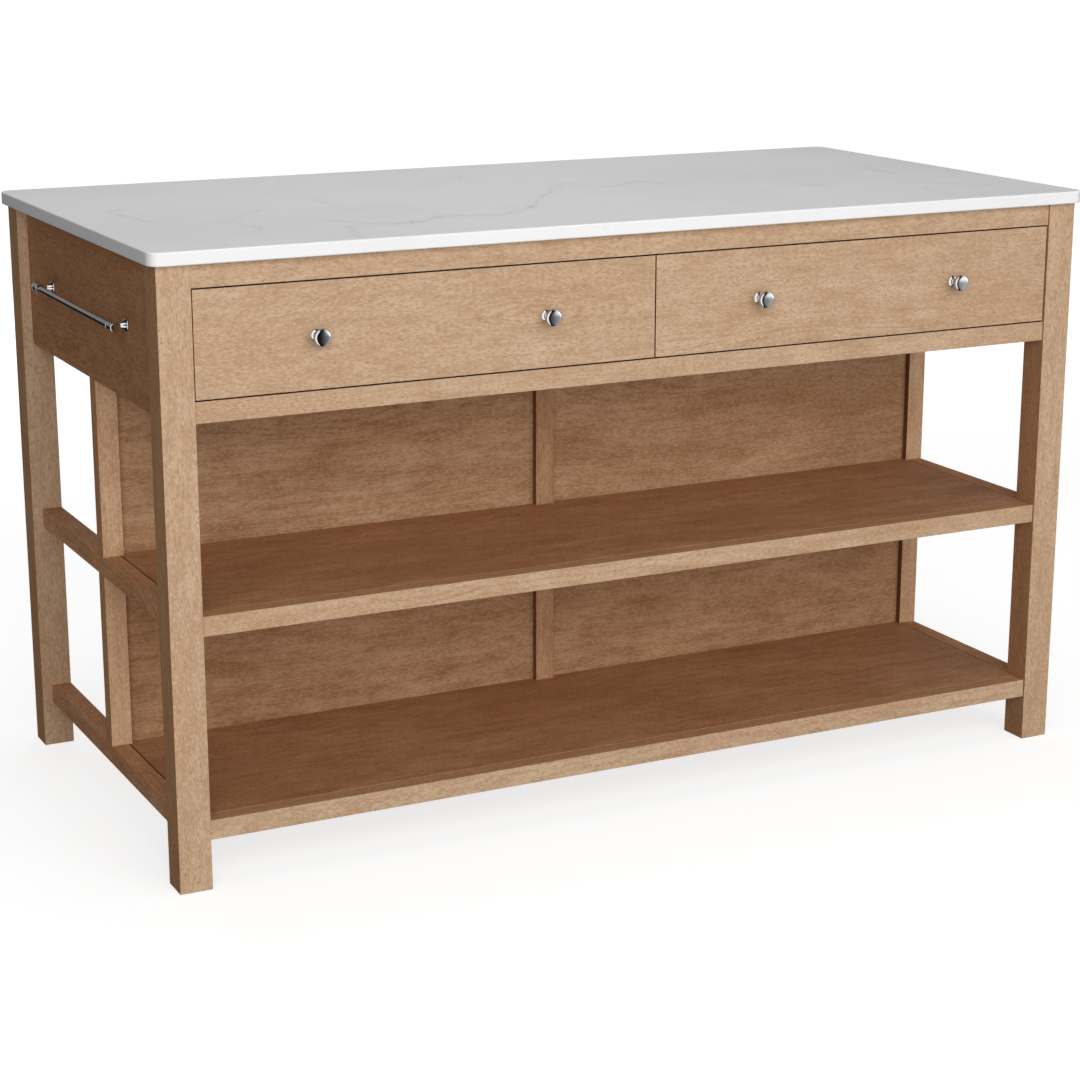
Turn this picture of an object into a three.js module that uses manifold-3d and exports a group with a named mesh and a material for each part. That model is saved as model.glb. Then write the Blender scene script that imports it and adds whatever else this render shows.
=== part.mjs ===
// Kitchen island unit: a stone slab on a timber frame, with two drawers, two open shelves,
// a recessed panelled back, a knee space behind it and a towel bar on the left end.
// Millimetres, +Z up, X along the length and Y from the drawers to the knee space.
// The origin is on the floor, in the middle of the four legs.

import * as THREE from "three";
import { mergeVertices } from "three/addons/utils/BufferGeometryUtils.js";
import Module from "manifold-3d";

// Worktop
const TOP_LENGTH = 1524;
const TOP_DEPTH = 762;
const TOP_THICKNESS = 19;
const TOP_CORNER_RADIUS = 20;
const TOP_EDGE_EASE = 2;
const TOP_OVERHANG = 11;
const COUNTER_HEIGHT = 903;

// Legs, and the members between them
const LEG_SIZE = 48;
const END_SETBACK = 16; // end aprons, end rails and posts, in from the legs' outer faces
const FRONT_SETBACK = 3; // front rails and drawer fronts, in from the legs' front faces
const APRON_HEIGHT = 216;
const BACK_APRON_THICKNESS = 20;
const FRONT_RAIL_DEPTH = 28;
const FRONT_TOP_RAIL_HEIGHT = 33;
const FRONT_LOWER_RAIL_HEIGHT = 30;

// Shelves: a rebated frame of three rails with a panel let in flush with its top
const MID_SHELF_TOP = 399;
const BOTTOM_SHELF_TOP = 102;
const SHELF_RAIL_HEIGHT = 29;
const SHELF_FRONT_RAIL_DEPTH = 32;
const SHELF_PANEL_THICKNESS = 18;
const SHELF_LEDGE = 5;

// Back of the storage space
const STORAGE_DEPTH = 359; // from the legs' front faces to the posts' front faces
const POST_DEPTH = 28;
const CENTRE_POST_WIDTH = 32;
const BACK_PANEL_THICKNESS = 8;
const BACK_PANEL_SETBACK = 12; // behind the posts' front faces
const PANEL_GROOVE_DEPTH = 6;
const BACK_BOARD_THICKNESS = 20;
const DIVIDER_THICKNESS = 24;

// Drawers
const DRAWER_REVEAL = 2; // gap round each drawer front
const DRAWER_FRONT_THICKNESS = 20;
const BOX_HEIGHT = 110;
const BOX_LIFT = 12; // box sides above the drawer front's lower edge
const BOX_SIDE_THICKNESS = 12;
const BOX_REAR_CLEARANCE = 16;
const BOX_BOTTOM_THICKNESS = 6;
const BOX_BOTTOM_LIFT = 10; // above the box sides' lower edges
const BOX_GROOVE_DEPTH = 6;

// Drawer slides, each of three nested steel members
const SLIDE_HEIGHT = 45;
const SLIDE_THICKNESS = 12.5;
const SLIDE_STEEL = 1.25;
const SLIDE_LIP = 2;
const SLIDE_WEB_GAP = 1;
const SLIDE_FRONT_INSET = 2;
const SLIDE_REAR_INSET = 18;
const SLIDE_AXIS_LIFT = 33; // slide's middle above the box sides' lower edges

// Knobs, turned in one with the screw that holds them
const KNOB_INSET = 175; // from each end of a drawer front
const KNOB_PROJECTION = 25;
const KNOB_CAP_RADIUS = 12.75;
const KNOB_CAP_THICKNESS = 6.5;
const KNOB_CAP_CROWN = 0.75; // rise of the cap's face
const KNOB_CAP_FRONT_ROUND = 4;
const KNOB_CAP_REAR_ROUND = 1;
const KNOB_NECK_RADIUS = 4;
const KNOB_NECK_FLARE = 4; // hollow curve from the neck to the cap
const KNOB_FLANGE_RADIUS = 9;
const KNOB_FLANGE_THICKNESS = 3;
const KNOB_FLANGE_ROUND = 1.8;
const KNOB_FOOT_HEIGHT = 3.2; // hollow curve from the flange to the neck

// Towel bar
const TOWEL_ROD_RADIUS = 5;
const TOWEL_STANDOFF = 24; // rod's axis from the apron's face
const TOWEL_SPACING = 370; // between the two brackets
const TOWEL_DROP = 0.495 * APRON_HEIGHT; // rod's axis below the top of the apron
const TOWEL_FLANGE_RADIUS = 9.5;
const TOWEL_FLANGE_RIM = 3;
const TOWEL_FLANGE_ROUND = 0.6;
const TOWEL_WAIST_RADIUS = 4.3; // small end of the cone that rises from the flange
const TOWEL_WAIST_HEIGHT = 6.4; // above the flange
const TOWEL_STEM_RADIUS = 3.5;
const TOWEL_STEM_TAPER = 3.2; // from the waist to where the stem is straight
const TOWEL_SOCKET_DEPTH = 8;
const TOWEL_SOCKET_WALL = 0.8;
const TOWEL_COLLAR_STEP = 0.6;
const TOWEL_COLLAR_LENGTH = 3;
const TOWEL_CAP_RADIUS = 6.6;
const TOWEL_CAP_THICKNESS = 4;
const TOWEL_CAP_CROWN = 0.4; // rise of the cap's face
const TOWEL_CAP_FRONT_ROUND = 1.6;
const TOWEL_END_REACH = 18; // from the stem's axis to the crown of the bracket's cap

// Screws that hold the knobs and the towel bar brackets
const SCREW_RADIUS = 2;
const SCREW_HEAD_RADIUS = 4;
const SCREW_HEAD_HEIGHT = 2.5;
const SCREW_HEAD_EDGE = 1;

// Clearances
const FIT = 0.3; // round a piece that is let into another, or passes through it
const RUNNING_FIT = 0.5; // between the members of a slide

const TURNED_SEGMENTS = 24;
const HOLE_SEGMENTS = 8; // in each half of a round hole
const CORNER_SEGMENTS = 8;
const EDGE_SEGMENTS = 3;

// Places that follow from the sizes above
const BASE_LENGTH = TOP_LENGTH - 2 * TOP_OVERHANG;
const BASE_DEPTH = TOP_DEPTH - 2 * TOP_OVERHANG;
const LEG_HEIGHT = COUNTER_HEIGHT - TOP_THICKNESS;
const LEG_OUTER_X = BASE_LENGTH / 2;
const LEG_INNER_X = LEG_OUTER_X - LEG_SIZE;
const LEG_FRONT_Y = -BASE_DEPTH / 2;
const LEG_REAR_Y = LEG_FRONT_Y + LEG_SIZE; // rear faces of the front legs
const END_OUTER_X = LEG_OUTER_X - END_SETBACK;
const APRON_UNDERSIDE = LEG_HEIGHT - APRON_HEIGHT;
const FRONT_Y = LEG_FRONT_Y + FRONT_SETBACK;
const POST_FRONT_Y = LEG_FRONT_Y + STORAGE_DEPTH;
const POST_REAR_Y = POST_FRONT_Y + POST_DEPTH;
const PANEL_FRONT_Y = POST_FRONT_Y + BACK_PANEL_SETBACK;
const PANEL_REAR_Y = PANEL_FRONT_Y + BACK_PANEL_THICKNESS;
const OPENING_BOTTOM = APRON_UNDERSIDE + FRONT_LOWER_RAIL_HEIGHT;
const OPENING_TOP = LEG_HEIGHT - FRONT_TOP_RAIL_HEIGHT;
const DRAWER_FRONT_BOTTOM = OPENING_BOTTOM + DRAWER_REVEAL;
const DRAWER_FRONT_TOP = OPENING_TOP - DRAWER_REVEAL;
const BOX_FRONT_Y = FRONT_Y + DRAWER_FRONT_THICKNESS;
const BOX_REAR_Y = POST_FRONT_Y - BOX_REAR_CLEARANCE;
const BOX_UNDERSIDE = DRAWER_FRONT_BOTTOM + BOX_LIFT;
const SLIDE_FRONT_Y = BOX_FRONT_Y + SLIDE_FRONT_INSET;
const SLIDE_REAR_Y = BOX_REAR_Y - SLIDE_REAR_INSET;
const SLIDE_AXIS_Z = BOX_UNDERSIDE + SLIDE_AXIS_LIFT;

const LEFT = -1;
const RIGHT = 1;
const SIDE_NAME = { [LEFT]: "left", [RIGHT]: "right" };

const wasm = await Module();
wasm.setup();

const finish = (color, roughness, metalness) =>
  new THREE.MeshStandardMaterial({ color, roughness, metalness });
const stone = finish(0xeeeeec, 0.25, 0);
const timber = finish(0xb98e66, 0.55, 0);
const boxTimber = finish(0xd8c19c, 0.6, 0);
const plywood = finish(0xd2b78e, 0.65, 0);
const zincSteel = finish(0xa7abae, 0.35, 1);
const polishedNickel = finish(0x9a9a9c, 0.15, 1);

// Faces that meet have to carry the same number, so every place is kept to a 1/64 mm grid,
// which 32-bit numbers hold exactly.
const GRID = 64;
const onGrid = (value) => Math.round(value * GRID) / GRID;
const span = (a, b) => [Math.min(a, b), Math.max(a, b)];

// A rectangular piece between two places along each axis.
function board(name, material, xs, ys, zs) {
  const ends = [xs, ys, zs].map((pair) => span(...pair).map(onGrid));
  const size = ends.map(([low, high]) => high - low);
  const mesh = new THREE.Mesh(new THREE.BoxGeometry(...size), material);
  mesh.name = name;
  mesh.position.set(...ends.map(([low, high]) => (low + high) / 2));
  return mesh;
}

// A piece of constant section along one axis. The outline and the round holes lie in the
// plane of the two other axes, taken in the order X, Y, Z.
function lengthOf(name, material, axis, ends, outline, holes = []) {
  const [low, high] = span(...ends).map(onGrid);
  const shape = new THREE.Shape(outline.map(([u, v]) => new THREE.Vector2(onGrid(u), onGrid(v))));
  for (const [u, v, radius] of holes) {
    const hole = new THREE.Path();
    hole.absarc(onGrid(u), onGrid(v), radius, 0, 2 * Math.PI, true);
    shape.holes.push(hole);
  }
  const geometry = new THREE.ExtrudeGeometry(shape, {
    depth: high - low,
    bevelEnabled: false,
    curveSegments: HOLE_SEGMENTS,
  });
  const [X, Y, Z] = [0, 1, 2].map((i) => new THREE.Vector3().setComponent(i, 1));
  const turn = new THREE.Matrix4();
  const mesh = new THREE.Mesh(geometry, material);
  mesh.name = name;
  if (axis === "x") {
    geometry.applyMatrix4(turn.makeBasis(Y, Z, X));
    mesh.position.x = low;
  } else if (axis === "y") {
    geometry.applyMatrix4(turn.makeBasis(X, Z, Y.negate()));
    mesh.position.y = high;
  } else {
    mesh.position.z = low;
  }
  return mesh;
}

// A mesh, where it stands, as a solid that can be joined and cut.
function solidOf(mesh) {
  mesh.updateMatrixWorld(true);
  const bare = mesh.geometry.clone().applyMatrix4(mesh.matrixWorld);
  bare.deleteAttribute("normal");
  bare.deleteAttribute("uv");
  const merged = mergeVertices(bare);
  return new wasm.Manifold(
    new wasm.Mesh({
      numProp: 3,
      vertProperties: merged.attributes.position.array,
      triVerts: new Uint32Array(merged.index.array),
    }),
  );
}

function meshOf(name, material, solid) {
  const { vertProperties, triVerts } = solid.getMesh();
  const geometry = new THREE.BufferGeometry();
  geometry.setAttribute("position", new THREE.BufferAttribute(new Float32Array(vertProperties), 3));
  geometry.setIndex(new THREE.BufferAttribute(new Uint32Array(triVerts), 1));
  geometry.computeVertexNormals();
  const mesh = new THREE.Mesh(geometry, material);
  mesh.name = name;
  return mesh;
}

// Points along a quarter of an ellipse, from one angle in degrees to another.
function quarter(centre, radii, from, to, steps) {
  return Array.from({ length: steps + 1 }, (_, i) => {
    const angle = THREE.MathUtils.degToRad(from + ((to - from) * i) / steps);
    return [centre[0] + radii[0] * Math.cos(angle), centre[1] + radii[1] * Math.sin(angle)];
  });
}

// A turned shape about its own Y axis, from [radius, height] pairs in rising order. A radius
// that only rounding keeps off the axis is put on it.
function turned(profile, material) {
  const points = profile.map(([radius, height]) => new THREE.Vector2(onGrid(radius), onGrid(height)));
  return new THREE.Mesh(new THREE.LatheGeometry(points, TURNED_SEGMENTS), material);
}

// The stone slab: rounded corners, and an eased edge above and below.
function worktop() {
  const [halfLength, halfDepth, radius] = [TOP_LENGTH / 2, TOP_DEPTH / 2, TOP_CORNER_RADIUS];
  const outline = new THREE.Shape();
  const corners = [
    [halfLength - radius, radius - halfDepth, -Math.PI / 2],
    [halfLength - radius, halfDepth - radius, 0],
    [radius - halfLength, halfDepth - radius, Math.PI / 2],
    [radius - halfLength, radius - halfDepth, Math.PI],
  ];
  for (const [x, y, from] of corners) {
    outline.absarc(x, y, radius, from, from + Math.PI / 2, false);
  }
  const geometry = new THREE.ExtrudeGeometry(outline, {
    depth: TOP_THICKNESS - 2 * TOP_EDGE_EASE,
    bevelThickness: TOP_EDGE_EASE,
    bevelSize: TOP_EDGE_EASE,
    bevelOffset: -TOP_EDGE_EASE,
    bevelSegments: EDGE_SEGMENTS,
    curveSegments: CORNER_SEGMENTS,
  });
  const mesh = new THREE.Mesh(geometry, stone);
  mesh.name = "worktop";
  mesh.position.z = onGrid(LEG_HEIGHT) + TOP_EDGE_EASE;
  return mesh;
}

function legs() {
  const group = new THREE.Group();
  for (const side of [LEFT, RIGHT]) {
    const xs = [side * LEG_INNER_X, side * LEG_OUTER_X];
    const zs = [0, LEG_HEIGHT];
    const name = SIDE_NAME[side];
    group.add(board(`leg_front_${name}`, timber, xs, [LEG_FRONT_Y, LEG_REAR_Y], zs));
    group.add(board(`leg_back_${name}`, timber, xs, [-LEG_REAR_Y, -LEG_FRONT_Y], zs));
  }
  return group;
}

// End aprons are flush with the legs' inner faces, so that the slides lie flat on both.
function aprons() {
  const group = new THREE.Group();
  const zs = [APRON_UNDERSIDE, LEG_HEIGHT];
  const bracketZ = LEG_HEIGHT - TOWEL_DROP;
  const outline = [
    [LEG_REAR_Y, APRON_UNDERSIDE],
    [-LEG_REAR_Y, APRON_UNDERSIDE],
    [-LEG_REAR_Y, LEG_HEIGHT],
    [LEG_REAR_Y, LEG_HEIGHT],
  ];
  const screwHoles = [-1, 1].map((end) => [(end * TOWEL_SPACING) / 2, bracketZ, SCREW_RADIUS + FIT]);
  const leftEnds = [-END_OUTER_X, -LEG_INNER_X];
  group.add(lengthOf("end_apron_left", timber, "x", leftEnds, outline, screwHoles));
  group.add(lengthOf("end_apron_right", timber, "x", [LEG_INNER_X, END_OUTER_X], outline));
  const rearY = -LEG_FRONT_Y - FRONT_SETBACK;
  const backYs = [rearY - BACK_APRON_THICKNESS, rearY];
  group.add(board("back_apron", timber, [-LEG_INNER_X, LEG_INNER_X], backYs, zs));
  return group;
}

// The rails above and below the drawers, the board behind them and the divider between them.
function drawerSpace() {
  const group = new THREE.Group();
  const xs = [-LEG_INNER_X, LEG_INNER_X];
  const railYs = [FRONT_Y, FRONT_Y + FRONT_RAIL_DEPTH];
  group.add(board("front_top_rail", timber, xs, railYs, [OPENING_TOP, LEG_HEIGHT]));
  group.add(board("front_lower_rail", timber, xs, railYs, [APRON_UNDERSIDE, OPENING_BOTTOM]));
  const boardYs = [POST_FRONT_Y, POST_FRONT_Y + BACK_BOARD_THICKNESS];
  group.add(board("drawer_back_board", timber, xs, boardYs, [APRON_UNDERSIDE, LEG_HEIGHT]));

  const tongueY = BOX_FRONT_Y + SLIDE_FRONT_INSET;
  const outline = [
    [railYs[1], APRON_UNDERSIDE],
    [POST_FRONT_Y, APRON_UNDERSIDE],
    [POST_FRONT_Y, LEG_HEIGHT],
    [railYs[1], LEG_HEIGHT],
    [railYs[1], OPENING_TOP],
    [tongueY, OPENING_TOP],
    [tongueY, OPENING_BOTTOM],
    [railYs[1], OPENING_BOTTOM],
  ];
  const ends = [-DIVIDER_THICKNESS / 2, DIVIDER_THICKNESS / 2];
  group.add(lengthOf("drawer_divider", boxTimber, "x", ends, outline));
  return group;
}

// One shelf. The front rail is rebated all along, the end rails only as far as the posts,
// and the panel is notched round the front legs.
function shelf(name, top) {
  const group = new THREE.Group();
  const underside = top - SHELF_RAIL_HEIGHT;
  const seat = top - SHELF_PANEL_THICKNESS;
  const frontRearY = FRONT_Y + SHELF_FRONT_RAIL_DEPTH;
  const seamY = frontRearY - SHELF_LEDGE;
  const seamX = LEG_INNER_X + SHELF_LEDGE;

  const railOutline = [
    [FRONT_Y, underside],
    [frontRearY, underside],
    [frontRearY, seat],
    [seamY, seat],
    [seamY, top],
    [FRONT_Y, top],
  ];
  const railEnds = [-LEG_INNER_X, LEG_INNER_X];
  group.add(lengthOf(`${name}_front_rail`, timber, "x", railEnds, railOutline));

  for (const side of [LEFT, RIGHT]) {
    const xs = [side * LEG_INNER_X, side * END_OUTER_X];
    const rail = board("", timber, xs, [LEG_REAR_Y, -LEG_REAR_Y], [underside, top]);
    const rebateXs = [side * (LEG_INNER_X - FIT), side * seamX];
    const rebateYs = [LEG_REAR_Y - FIT, POST_REAR_Y + FIT];
    const rebate = board("", timber, rebateXs, rebateYs, [seat, top + FIT]);
    const cut = solidOf(rail).subtract(solidOf(rebate));
    group.add(meshOf(`${name}_${SIDE_NAME[side]}_rail`, timber, cut));
  }

  const edgeX = seamX - FIT;
  const notchX = LEG_INNER_X - FIT;
  const panelOutline = [
    [-notchX, seamY + FIT],
    [notchX, seamY + FIT],
    [notchX, LEG_REAR_Y + FIT],
    [edgeX, LEG_REAR_Y + FIT],
    [edgeX, POST_REAR_Y],
    [-edgeX, POST_REAR_Y],
    [-edgeX, LEG_REAR_Y + FIT],
    [-notchX, LEG_REAR_Y + FIT],
  ];
  group.add(lengthOf(`${name}_panel`, timber, "z", [seat, top], panelOutline));
  return group;
}

// The section of a post in plan, with a groove for a back panel in each side that has one.
function postOutline(leftX, rightX, grooveLeft, grooveRight) {
  const rearY = PANEL_REAR_Y + FIT;
  const groove = (x, depth) => [
    [x, PANEL_FRONT_Y],
    [x + depth, PANEL_FRONT_Y],
    [x + depth, rearY],
    [x, rearY],
  ];
  return [
    [leftX, POST_FRONT_Y],
    [rightX, POST_FRONT_Y],
    ...(grooveRight ? groove(rightX, -PANEL_GROOVE_DEPTH) : []),
    [rightX, POST_REAR_Y],
    [leftX, POST_REAR_Y],
    ...(grooveLeft ? groove(leftX, PANEL_GROOVE_DEPTH).reverse() : []),
  ];
}

// The posts and panels of one level, between a shelf and what is above it. End posts stop
// under the end rail or apron, the centre post and the panels under the shelf or board.
function backLevel(name, bottom, endTop, centreTop) {
  const group = new THREE.Group();
  const centreX = CENTRE_POST_WIDTH / 2;
  const endZs = [bottom, endTop];
  const centreZs = [bottom, centreTop];
  const leftPost = postOutline(-END_OUTER_X, -LEG_INNER_X, false, true);
  const centrePost = postOutline(-centreX, centreX, true, true);
  const rightPost = postOutline(LEG_INNER_X, END_OUTER_X, true, false);
  group.add(lengthOf(`${name}_post_left`, timber, "z", endZs, leftPost));
  group.add(lengthOf(`${name}_post_centre`, timber, "z", centreZs, centrePost));
  group.add(lengthOf(`${name}_post_right`, timber, "z", endZs, rightPost));

  const tongue = PANEL_GROOVE_DEPTH - FIT;
  for (const side of [LEFT, RIGHT]) {
    const inner = side * (centreX - tongue);
    const face = side * (LEG_INNER_X - FIT);
    const outer = side * (LEG_INNER_X + tongue);
    const outline = [
      [inner, bottom],
      [outer, bottom],
      [outer, endTop],
      [face, endTop],
      [face, centreTop],
      [inner, centreTop],
    ];
    const ys = [PANEL_FRONT_Y, PANEL_REAR_Y];
    group.add(lengthOf(`${name}_back_panel_${SIDE_NAME[side]}`, timber, "y", ys, outline));
  }
  return group;
}

// A screw's profile from the face that it comes out of, through the piece that it holds, to
// its head on the other side.
function screwProfile(grip) {
  const end = grip + SCREW_HEAD_HEIGHT;
  return [
    [SCREW_RADIUS, 0],
    [SCREW_RADIUS, grip],
    [SCREW_HEAD_RADIUS, grip],
    [SCREW_HEAD_RADIUS, end - SCREW_HEAD_EDGE],
    [SCREW_HEAD_RADIUS - SCREW_HEAD_EDGE, end],
    [0, end],
  ];
}

// A knob's profile from the crown of its cap, through its flange, to its screw's head.
function knobProfile() {
  const face = KNOB_CAP_CROWN - KNOB_PROJECTION;
  const capRear = KNOB_CAP_THICKNESS - KNOB_PROJECTION;
  const frontRound = [KNOB_CAP_FRONT_ROUND, KNOB_CAP_FRONT_ROUND];
  const frontCentre = [KNOB_CAP_RADIUS - KNOB_CAP_FRONT_ROUND, face + KNOB_CAP_FRONT_ROUND];
  const rearRound = [KNOB_CAP_REAR_ROUND, KNOB_CAP_REAR_ROUND];
  const rearCentre = [KNOB_CAP_RADIUS - KNOB_CAP_REAR_ROUND, capRear - KNOB_CAP_REAR_ROUND];
  const flare = [KNOB_NECK_FLARE, KNOB_NECK_FLARE];
  const flareCentre = [KNOB_NECK_RADIUS + KNOB_NECK_FLARE, capRear + KNOB_NECK_FLARE];
  const rimRound = [KNOB_FLANGE_ROUND, KNOB_FLANGE_ROUND];
  const rimStart = KNOB_FLANGE_RADIUS - KNOB_FLANGE_ROUND;
  const rimCentre = [rimStart, KNOB_FLANGE_ROUND - KNOB_FLANGE_THICKNESS];
  const foot = [rimStart - KNOB_NECK_RADIUS, KNOB_FOOT_HEIGHT];
  const footCentre = [rimStart, -KNOB_FLANGE_THICKNESS - KNOB_FOOT_HEIGHT];
  return [
    [0, -KNOB_PROJECTION],
    ...quarter(frontCentre, frontRound, -90, 0, 3),
    ...quarter(rearCentre, rearRound, 0, 90, 1),
    ...quarter(flareCentre, flare, -90, -180, 2),
    ...quarter(footCentre, foot, 180, 90, 2),
    ...quarter(rimCentre, rimRound, -90, 0, 2).slice(1),
    [KNOB_FLANGE_RADIUS, 0],
    ...screwProfile(DRAWER_FRONT_THICKNESS),
  ];
}

// One drawer: a solid front on a grooved box, with two knobs.
function drawer(side) {
  const group = new THREE.Group();
  const name = `drawer_${SIDE_NAME[side]}`;
  const frontXs = span(side * (DRAWER_REVEAL / 2), side * (LEG_INNER_X - DRAWER_REVEAL));
  const knobZ = (DRAWER_FRONT_BOTTOM + DRAWER_FRONT_TOP) / 2;
  const outerEnd = LEG_INNER_X - DRAWER_REVEAL;
  const knobXs = [side * (outerEnd - KNOB_INSET), side * (DRAWER_REVEAL / 2 + KNOB_INSET)];
  const frontOutline = [
    [frontXs[0], DRAWER_FRONT_BOTTOM],
    [frontXs[1], DRAWER_FRONT_BOTTOM],
    [frontXs[1], DRAWER_FRONT_TOP],
    [frontXs[0], DRAWER_FRONT_TOP],
  ];
  const holes = knobXs.map((x) => [x, knobZ, SCREW_RADIUS + FIT]);
  group.add(lengthOf(`${name}_front`, timber, "y", [FRONT_Y, BOX_FRONT_Y], frontOutline, holes));

  ["outer", "inner"].forEach((place, i) => {
    const knob = turned(knobProfile(), polishedNickel);
    knob.name = `${name}_knob_${place}`;
    knob.position.set(onGrid(knobXs[i]), onGrid(FRONT_Y), onGrid(knobZ));
    group.add(knob);
  });

  const bottomZ = BOX_UNDERSIDE + BOX_BOTTOM_LIFT;
  const bottomTopZ = bottomZ + BOX_BOTTOM_THICKNESS;
  const boxTop = BOX_UNDERSIDE + BOX_HEIGHT;
  const outerX = side * (LEG_INNER_X - SLIDE_THICKNESS);
  const innerX = side * (DIVIDER_THICKNESS / 2 + SLIDE_THICKNESS);
  const sides = [
    ["outer", outerX, -side],
    ["inner", innerX, side],
  ];
  for (const [place, x, inward] of sides) {
    const wallX = x + inward * BOX_SIDE_THICKNESS;
    const grooveX = wallX - inward * BOX_GROOVE_DEPTH;
    const outline = [
      [x, BOX_UNDERSIDE],
      [wallX, BOX_UNDERSIDE],
      [wallX, bottomZ],
      [grooveX, bottomZ],
      [grooveX, bottomTopZ + FIT],
      [wallX, bottomTopZ + FIT],
      [wallX, boxTop],
      [x, boxTop],
    ];
    const ys = [BOX_FRONT_Y, BOX_REAR_Y];
    group.add(lengthOf(`${name}_${place}_side`, boxTimber, "y", ys, outline));
  }

  const wall = BOX_SIDE_THICKNESS;
  const insideXs = [outerX - side * wall, innerX + side * wall];
  const backYs = [BOX_REAR_Y - wall, BOX_REAR_Y];
  group.add(board(`${name}_back`, boxTimber, insideXs, backYs, [bottomTopZ, boxTop]));
  const tongue = BOX_GROOVE_DEPTH - FIT;
  const bottomXs = [insideXs[0] + side * tongue, insideXs[1] - side * tongue];
  const bottomYs = [BOX_FRONT_Y, BOX_REAR_Y];
  group.add(board(`${name}_bottom`, plywood, bottomXs, bottomYs, [bottomZ, bottomTopZ]));
  return group;
}

// A folded steel section: a web at one depth from the mounting face, flanges that reach to
// another, and lips turned in towards the middle.
function channel(webAt, tipAt, halfHeight, lip) {
  const inward = Math.sign(tipAt - webAt) * SLIDE_STEEL;
  const flange = halfHeight - SLIDE_STEEL;
  const upper = [
    [webAt + inward, flange],
    [tipAt - inward, flange],
    [tipAt - inward, flange - lip],
    [tipAt, flange - lip],
    [tipAt, halfHeight],
    [webAt, halfHeight],
  ];
  const lower = upper.map(([depth, height]) => [depth, -height]).reverse();
  return [...lower, ...upper];
}

// One slide: the cabinet member on its mounting face, the drawer member on the box side,
// and the middle member that runs half as far between them.
function slide(name, mountX, inward) {
  const group = new THREE.Group();
  const nested = SLIDE_STEEL + SLIDE_LIP + RUNNING_FIT;
  const middleWeb = SLIDE_STEEL + SLIDE_WEB_GAP;
  const middleTip = SLIDE_THICKNESS - middleWeb;
  const cabinetTip = middleTip - SLIDE_STEEL;
  const half = SLIDE_HEIGHT / 2;
  const members = {
    cabinet_member: channel(0, cabinetTip, half, SLIDE_LIP),
    middle_member: channel(middleWeb, middleTip, half - nested, SLIDE_LIP),
    drawer_member: channel(SLIDE_THICKNESS, 2 * middleWeb, half - 2 * nested, SLIDE_LIP),
  };
  for (const [member, outline] of Object.entries(members)) {
    const placed = outline.map(([depth, height]) => [mountX + inward * depth, SLIDE_AXIS_Z + height]);
    const ys = [SLIDE_FRONT_Y, SLIDE_REAR_Y];
    group.add(lengthOf(`${name}_${member}`, zincSteel, "y", ys, placed));
  }
  return group;
}

function slides(side) {
  const group = new THREE.Group();
  const name = `slide_${SIDE_NAME[side]}`;
  group.add(slide(`${name}_outer`, side * LEG_INNER_X, -side));
  group.add(slide(`${name}_inner`, (side * DIVIDER_THICKNESS) / 2, side));
  return group;
}

// A round bar about its own Y axis, with its middle at the origin.
function cylinder(name, radius, length) {
  const geometry = new THREE.CylinderGeometry(radius, radius, length, TURNED_SEGMENTS);
  const mesh = new THREE.Mesh(geometry, polishedNickel);
  mesh.name = name;
  return mesh;
}

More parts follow.
